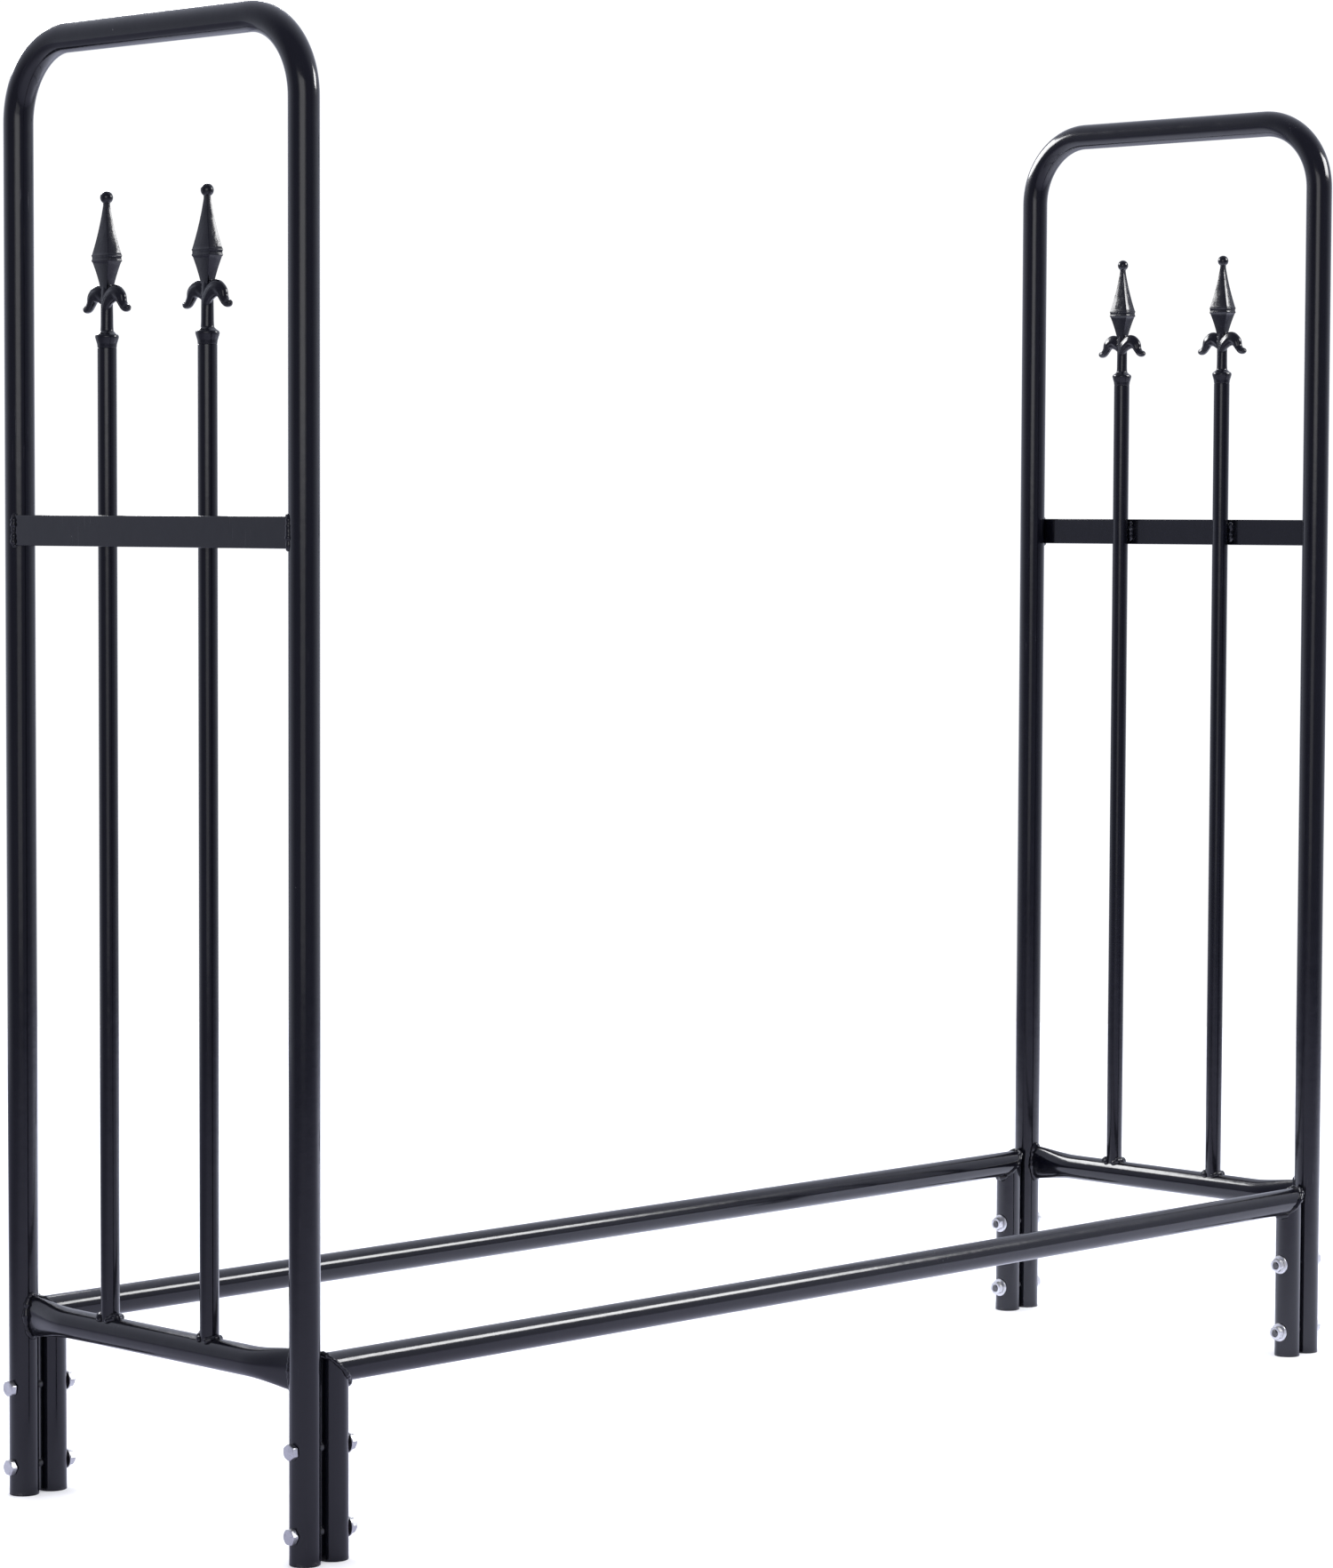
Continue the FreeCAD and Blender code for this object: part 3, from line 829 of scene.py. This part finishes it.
def place_fastener(node, pattern, sign, start_x, turn, material):
    """Copy a fastener to its node's line, its own Z pointing inwards from start_x."""
    mesh = pattern.copy()
    centre = middle(node)
    inwards = Quaternion(Y_AXIS, -sign * math.pi / 2) @ Quaternion(Z_AXIS, turn)
    for vertex in mesh.vertices:
        vertex.co = inwards @ vertex.co + Vector((start_x, centre.y, centre.z))
    piece = add_object(f"{node}_zinc", mesh)
    return finish_piece(piece, material, "zinc", node)


def paint_shank_shade(piece, material, seat_x):
    """Give the shank a darker zinc from the head's seat inwards: painted shade, standing in for
    the shade where it crosses the dark gap between leg and post.
    """
    piece.data.materials.append(material)
    for face in piece.data.polygons:
        if abs(face.center.x) < abs(seat_x):
            face.material_index = 1


def make_fasteners(material, shank_shade_material):
    bolt = bolt_mesh()
    nut = nut_mesh()
    washer_thickness = extent("washer_lower_front_left").x
    washer = washer_mesh(washer_thickness)
    luck = random.Random(11)
    for half, sign in HALVES.items():
        for side in SIDES:
            for level in LEVELS:
                turn = luck.uniform(0, math.pi / 3)
                other = luck.uniform(0, math.pi / 3)
                seat = sign * (FRAME_X + TUBE_RADIUS)
                node = f"bolt_{level}_{side}_{half}"
                piece = place_fastener(node, bolt, sign, seat, turn, material)
                # the shank's darker zinc is painted shade
                paint_shank_shade(piece, shank_shade_material, seat - sign * HEX_EDGE)
                node = f"washer_{level}_{side}_{half}"
                seat = middle(node).x + sign * washer_thickness / 2
                place_fastener(node, washer, sign, seat, 0, material)
                seat -= sign * washer_thickness
                place_fastener(f"hex_nut_{level}_{side}_{half}", nut, sign, seat, other, material)


# materials


def add_node(tree, kind, inputs=None, **settings):
    """A node with its inputs linked or set; settings are its own attributes."""
    made = tree.nodes.new(kind)
    for key, value in settings.items():
        setattr(made, key, value)
    for key, value in (inputs or {}).items():
        if isinstance(value, bpy.types.NodeSocket):
            tree.links.new(value, made.inputs[key])
        else:
            made.inputs[key].default_value = value
    return made


def new_material(name):
    """(material, node tree, its shader, place on the object in metres)"""
    material = bpy.data.materials.new(name)
    material.use_nodes = True
    tree = material.node_tree
    shader = tree.nodes["Principled BSDF"]
    place = add_node(tree, "ShaderNodeTexCoord").outputs["Object"]
    return material, tree, shader, place


def stretch(tree, place, scale, turn):
    inputs = {"Vector": place, "Scale": scale, "Rotation": turn}
    return add_node(tree, "ShaderNodeMapping", inputs).outputs["Vector"]


def grain(tree, place, scale, detail, rough=0.5):
    """Noise with about that many features per metre."""
    inputs = {"Vector": place, "Scale": scale, "Detail": detail, "Roughness": rough}
    return add_node(tree, "ShaderNodeTexNoise", inputs).outputs["Fac"]


def spread(tree, value, low, high, out_low=0.0, out_high=1.0):
    """Value between low and high, moved to between out_low and out_high."""
    inputs = {
        "Value": value,
        "From Min": low,
        "From Max": high,
        "To Min": out_low,
        "To Max": out_high,
    }
    return add_node(tree, "ShaderNodeMapRange", inputs).outputs["Result"]


def compute(tree, operation, first, second):
    inputs = {0: first, 1: second}
    return add_node(tree, "ShaderNodeMath", inputs, operation=operation).outputs[0]


def blend_colour(tree, share, first, second):
    inputs = {0: share, 6: first, 7: second}
    return add_node(tree, "ShaderNodeMix", inputs, data_type="RGBA").outputs[2]


def bump(tree, height, distance, strength, below=None):
    inputs = {"Height": height, "Distance": distance, "Strength": strength}
    if below is not None:
        inputs["Normal"] = below
    return add_node(tree, "ShaderNodeBump", inputs).outputs["Normal"]


def specks(tree, place, scale, size, share):
    """Small round spots, in that share of the cells of a Voronoi pattern."""
    cells = add_node(tree, "ShaderNodeTexVoronoi", {"Vector": place, "Scale": scale})
    near = spread(tree, cells.outputs["Distance"], size, size * 0.5)
    pick = add_node(tree, "ShaderNodeSeparateColor", {"Color": cells.outputs["Color"]})
    chosen = compute(tree, "LESS_THAN", pick.outputs[0], share)
    return compute(tree, "MULTIPLY", near, chosen)


def scratches(tree, place, scale, turn):
    """Fine lines along the local Z of the turned pattern, in a few patches."""
    lines = grain(tree, stretch(tree, place, scale, turn), scale=1.0, detail=1.0)
    thin = spread(tree, lines, 0.70, 0.735)
    patches = spread(tree, grain(tree, place, scale=13.0, detail=2.0), 0.60, 0.68)
    return compute(tree, "MULTIPLY", thin, patches)


# colours; each kind of wear has the share of its colour, that colour and added roughness

DUST = (0.05, (0.35, 0.34, 0.32, 1), 0.12)
SCRATCHES = (0.35, (0.09, 0.09, 0.10, 1), 0.18)
CHIPS = (0.7, (0.17, 0.165, 0.16, 1), 0.3)
SCUFFS = (0.6, (0.12, 0.115, 0.11, 1), 0.35)
DEEP_BLACK = (0.0018, 0.0018, 0.0038, 1)
PALE_BLACK = (0.003, 0.0032, 0.006, 1)
ZINC_SHADES = ((0.68, 0.68, 0.68, 1), (0.84, 0.84, 0.83, 1), (0.34, 0.34, 0.34, 1))
# darker zinc for the bolts' shanks: painted shade for the gap between leg and post
SHANK_SHADE_TONES = ((0.10, 0.10, 0.10, 1), (0.18, 0.18, 0.18, 1), (0.05, 0.05, 0.05, 1))


def dust_on(tree, place):
    """Specks on whatever faces upwards."""
    facing = add_node(tree, "ShaderNodeNewGeometry").outputs["Normal"]
    upwards = add_node(tree, "ShaderNodeSeparateXYZ", {"Vector": facing}).outputs["Z"]
    level = spread(tree, upwards, 0.55, 1.0)
    settled = spread(tree, grain(tree, place, scale=240.0, detail=5.0, rough=0.7), 0.45, 0.8)
    return compute(tree, "MULTIPLY", level, settled)


def scuffs_at_feet(tree, place, mottle):
    """A ragged band in the last few millimetres above the floor."""
    height = add_node(tree, "ShaderNodeSeparateXYZ", {"Vector": place}).outputs["Z"]
    ragged = compute(tree, "MULTIPLY", grain(tree, place, scale=160.0, detail=3.0), 9 * MM)
    at_foot = spread(tree, compute(tree, "ADD", height, ragged), 7.5 * MM, 3.5 * MM)
    return compute(tree, "MULTIPLY", at_foot, spread(tree, mottle, 0.42, 0.62))


def enamel(name, roughness, peel, dimples):
    """Gloss black stove enamel: clouded, orange-peeled, scratched, chipped, dusty and scuffed."""
    material, tree, shader, place = new_material(name)
    cloud = grain(tree, place, scale=11.0, detail=4.0, rough=0.6)
    mottle = grain(tree, place, scale=85.0, detail=3.0, rough=0.6)
    dust = dust_on(tree, place)
    chips = specks(tree, place, 38.0, 0.028, 0.10)
    scuffs = scuffs_at_feet(tree, place, mottle)
    lines = compute(
        tree,
        "MAXIMUM",
        scratches(tree, place, (950, 950, 26), (0.25, 0.1, 0.0)),
        scratches(tree, place, (1100, 1100, 30), (1.2, 0.5, 0.3)),
    )
    colour = blend_colour(tree, spread(tree, cloud, 0.3, 0.7), DEEP_BLACK, PALE_BLACK)
    rough = spread(tree, mottle, 0.3, 0.7, roughness - 0.025, roughness + 0.035)
    for wear, kind in ((dust, DUST), (lines, SCRATCHES), (chips, CHIPS), (scuffs, SCUFFS)):
        share, worn_colour, added = kind
        colour = blend_colour(tree, compute(tree, "MULTIPLY", wear, share), colour, worn_colour)
        rough = compute(tree, "ADD", rough, compute(tree, "MULTIPLY", wear, added))
    tree.links.new(colour, shader.inputs["Base Color"])
    tree.links.new(rough, shader.inputs["Roughness"])
    waves = grain(tree, place, scale=95.0, detail=1.0)
    pits = grain(tree, place, scale=420.0, detail=2.0)
    normal = bump(tree, waves, MM, peel)
    normal = bump(tree, pits, 0.1 * MM, dimples, normal)
    normal = bump(tree, compute(tree, "ADD", lines, chips), -0.03 * MM, 0.6, normal)
    tree.links.new(normal, shader.inputs["Normal"])
    shader.inputs["IOR"].default_value = 1.5
    shader.inputs["Coat Weight"].default_value = 0.25
    shader.inputs["Coat Roughness"].default_value = 0.06
    return material


def zinc_plate(name, dark, light, grimy):
    """Zinc plate: faint crystals, grimy patches and a slightly cloudy polish."""
    material, tree, shader, place = new_material(name)
    crystals = add_node(tree, "ShaderNodeTexVoronoi", {"Vector": place, "Scale": 620.0})
    shade = add_node(tree, "ShaderNodeSeparateColor", {"Color": crystals.outputs["Color"]})
    cloud = grain(tree, place, scale=240.0, detail=4.0, rough=0.6)
    tone = spread(tree, shade.outputs[0], 0, 1, 0.3, 0.65)
    grime = spread(tree, cloud, 0.58, 0.75, 0, 0.5)
    colour = blend_colour(tree, tone, dark, light)
    colour = blend_colour(tree, grime, colour, grimy)
    tree.links.new(colour, shader.inputs["Base Color"])
    rough = spread(tree, cloud, 0.3, 0.75, 0.26, 0.46)
    tree.links.new(rough, shader.inputs["Roughness"])
    normal = bump(tree, cloud, 0.08 * MM, 0.35)
    normal = bump(tree, grain(tree, place, scale=2600.0, detail=2.0), 0.02 * MM, 0.3, normal)
    tree.links.new(normal, shader.inputs["Normal"])
    shader.inputs["Metallic"].default_value = 1.0
    return material


# the studio

CAMERA_PLACE = Vector((-2.6765, -2.5859, 0.7494))
CAMERA_YAW = math.radians(44.69)
CAMERA_PITCH = math.radians(-3.4)
CAMERA_ROLL = 0.004
CAMERA_LENS = 103.49
BACKDROP = (math.cos(CAMERA_YAW), math.sin(CAMERA_YAW), 0)  # level, through the rack
REAR_LEFT = (-math.sin(CAMERA_YAW), math.cos(CAMERA_YAW), 0)
SENSOR_WIDTH = 36
FLOOR_RADIUS = 3.0
FLOOR_THICKNESS = 0.02

# floor colours: white as the camera sees them, and painted light and shade as the tubes mirror
# them

FLOOR_WHITES = ((0.90, 0.90, 0.90, 1), (0.93, 0.93, 0.93, 1))
FLOOR_FRONT_SHADE = (0.36, 0.36, 0.45, 1)
FLOOR_BEHIND_LIT = (0.78, 0.80, 0.92, 1)
FLOOR_SHADED = (0.08, 0.08, 0.11, 1)
FLOOR_RIM_SHADE = (0.22, 0.22, 0.29, 1)

# the room, as the camera sees it and as the tubes mirror it

BACKDROP_STRENGTH = 1.05
ROOM_FRONT = (0.18, 0.185, 0.26, 1)
ROOM_BEHIND = (0.64, 0.67, 0.80, 1)


def add_camera():
    camera = bpy.data.objects.new("camera", bpy.data.cameras.new("camera"))
    bpy.context.scene.collection.objects.link(camera)
    flat = math.cos(CAMERA_PITCH)
    forward = Vector(
        (flat * math.cos(CAMERA_YAW), flat * math.sin(CAMERA_YAW), math.sin(CAMERA_PITCH))
    )
    camera.location = CAMERA_PLACE
    camera.rotation_mode = "QUATERNION"
    level = forward.to_track_quat("-Z", "Y")
    camera.rotation_quaternion = level @ Quaternion(Z_AXIS, CAMERA_ROLL)
    camera.data.lens = CAMERA_LENS
    camera.data.sensor_width = SENSOR_WIDTH
    bpy.context.scene.camera = camera


def add_softbox(name, place, target, width, height, radiance, mirrored=True):
    """A rectangular lamp facing its target, unseen by the camera."""
    light = bpy.data.lights.new(name, "AREA")
    light.shape = "RECTANGLE"
    light.size = width
    light.size_y = height
    light.energy = radiance * math.pi * width * height
    box = bpy.data.objects.new(name, light)
    bpy.context.scene.collection.objects.link(box)
    box.location = place
    box.rotation_mode = "QUATERNION"
    box.rotation_quaternion = (Vector(target) - Vector(place)).to_track_quat("-Z", "Y")
    box.visible_camera = False
    box.visible_glossy = mirrored


def along(tree, place, direction):
    """How far a place lies in a direction."""
    inputs = {0: place, 1: direction}
    product = add_node(tree, "ShaderNodeVectorMath", inputs, operation="DOT_PRODUCT")
    return product.outputs["Value"]


def mirrored_floor_shade(tree, place):
    """Painted light and shade in the floor that the tubes mirror: pale behind the rack, darker
    before it, at its far left and towards the rim.
    """
    behind = spread(tree, along(tree, place, BACKDROP), -0.5, 0.6)
    colour = blend_colour(tree, behind, FLOOR_FRONT_SHADE, FLOOR_BEHIND_LIT)
    far_left = spread(tree, along(tree, place, REAR_LEFT), 0.9, 1.7, 0.0, 0.75)
    colour = blend_colour(tree, far_left, colour, FLOOR_SHADED)
    away = add_node(tree, "ShaderNodeVectorMath", {0: place}, operation="LENGTH")
    rim = spread(tree, away.outputs["Value"], 1.4, FLOOR_RADIUS)
    return blend_colour(tree, rim, colour, FLOOR_RIM_SHADE)


def add_floor():
    """A white floor to the camera; the tubes mirror it with painted studio shade instead."""
    rings = []
    for height in (-FLOOR_THICKNESS, 0):
        ring = [Vector((math.cos(angle), math.sin(angle), 0)) for angle in angles(96)]
        rings.append([point * FLOOR_RADIUS + Z_AXIS * height for point in ring])
    floor = add_object("floor", mesh_of("floor", [skin(rings)]))
    material, tree, shader, place = new_material("white_floor")
    tone = spread(tree, grain(tree, place, scale=3.0, detail=3.0), 0.3, 0.7)
    seen = blend_colour(tree, tone, *FLOOR_WHITES)
    direct = add_node(tree, "ShaderNodeLightPath").outputs["Is Camera Ray"]
    # to every ray but the camera's the floor shows painted light and shade
    colour = blend_colour(tree, direct, mirrored_floor_shade(tree, place), seen)
    tree.links.new(colour, shader.inputs["Base Color"])
    shader.inputs["Roughness"].default_value = 0.9
    shader.inputs["Specular IOR Level"].default_value = 0.0
    floor.data.materials.append(material)


def add_surroundings():
    """A pale backdrop behind the rack and a dim room on the camera's side of it."""
    world = bpy.data.worlds.new("studio")
    bpy.context.scene.world = world
    world.use_nodes = True
    tree = world.node_tree
    tree.nodes.clear()
    direction = add_node(tree, "ShaderNodeTexCoord").outputs["Generated"]
    towards = spread(tree, along(tree, direction, BACKDROP), -0.38, 0.42)
    colour = blend_colour(tree, towards, ROOM_FRONT, ROOM_BEHIND)
    seen = add_node(tree, "ShaderNodeLightPath").outputs["Is Camera Ray"]
    white = {"Color": (1, 1, 1, 1), "Strength": BACKDROP_STRENGTH}
    plain = add_node(tree, "ShaderNodeBackground", white).outputs[0]
    room = add_node(tree, "ShaderNodeBackground", {"Color": colour}).outputs[0]
    both = add_node(tree, "ShaderNodeMixShader", {0: seen, 1: room, 2: plain})
    add_node(tree, "ShaderNodeOutputWorld", {"Surface": both.outputs[0]})


def add_lights():
    """Keys off the right end and the rear side, soft fills at the front, one wide overhead."""
    add_softbox("key_right", (1.70, -1.42, 1.85), (1.70, 0, 0.14), 1.2, 0.75, 13)
    add_softbox("key_left", (0.12, 1.23, 1.53), (0.12, 0, 1.53), 1.08, 0.46, 13)
    add_softbox("front_high", (-2.9, -2.1, 1.5), (0, 0, 0.9), 1.7, 1.4, 0.8)
    add_softbox("front_wide", (-3.0, -2.2, 1.5), (0, 0, 0.9), 2.9, 1.5, 0.55)
    add_softbox("front_low", (-2.9, -2.1, 0.45), (0, 0, 0.5), 1.8, 0.7, 0.5)
    add_softbox("overhead", (0, 0, 4.0), (0, 0, 0), 10.0, 10.0, 1.4, mirrored=False)


# the rack

frame_enamel = enamel("frame_enamel", roughness=0.15, peel=0.10, dimples=0.18)
rail_enamel = enamel("rail_enamel", roughness=0.15, peel=0.10, dimples=0.18)
cast_enamel = enamel("cast_enamel", roughness=0.19, peel=0.45, dimples=1.0)
zinc = zinc_plate("zinc", *ZINC_SHADES)
# a darker zinc for the shanks, painted shade where they cross the gap between leg and post
shank_shade_zinc = zinc_plate("shank_shade_zinc", *SHANK_SHADE_TONES)
casting = finial_mesh()
for half in HALVES:
    make_arch(half, frame_enamel)
    make_cross_tube(half, frame_enamel)
    make_crossbar(half, frame_enamel)
    for side in SIDES:
        make_rod(half, side, frame_enamel)
        make_finial(half, side, casting, cast_enamel)
        make_post(half, side, rail_enamel)
        seed = 10 * HALVES[half] + 3 * SIDES[side] + 50
        weld_rod_foot(half, side, frame_enamel, seed)
        weld_cross_tube(half, side, frame_enamel, seed + 100)
        weld_crossbar_end(half, side, frame_enamel, seed + 200)
        weld_rod_to_crossbar(half, side, frame_enamel, seed + 300)
        weld_mitre(half, side, rail_enamel, seed + 400)
for side in SIDES:
    make_rail(side, rail_enamel)
make_fasteners(zinc, shank_shade_zinc)
bpy.data.meshes.remove(casting)

add_camera()
add_floor()
add_surroundings()
add_lights()
bpy.context.scene.view_settings.view_transform = "Standard"
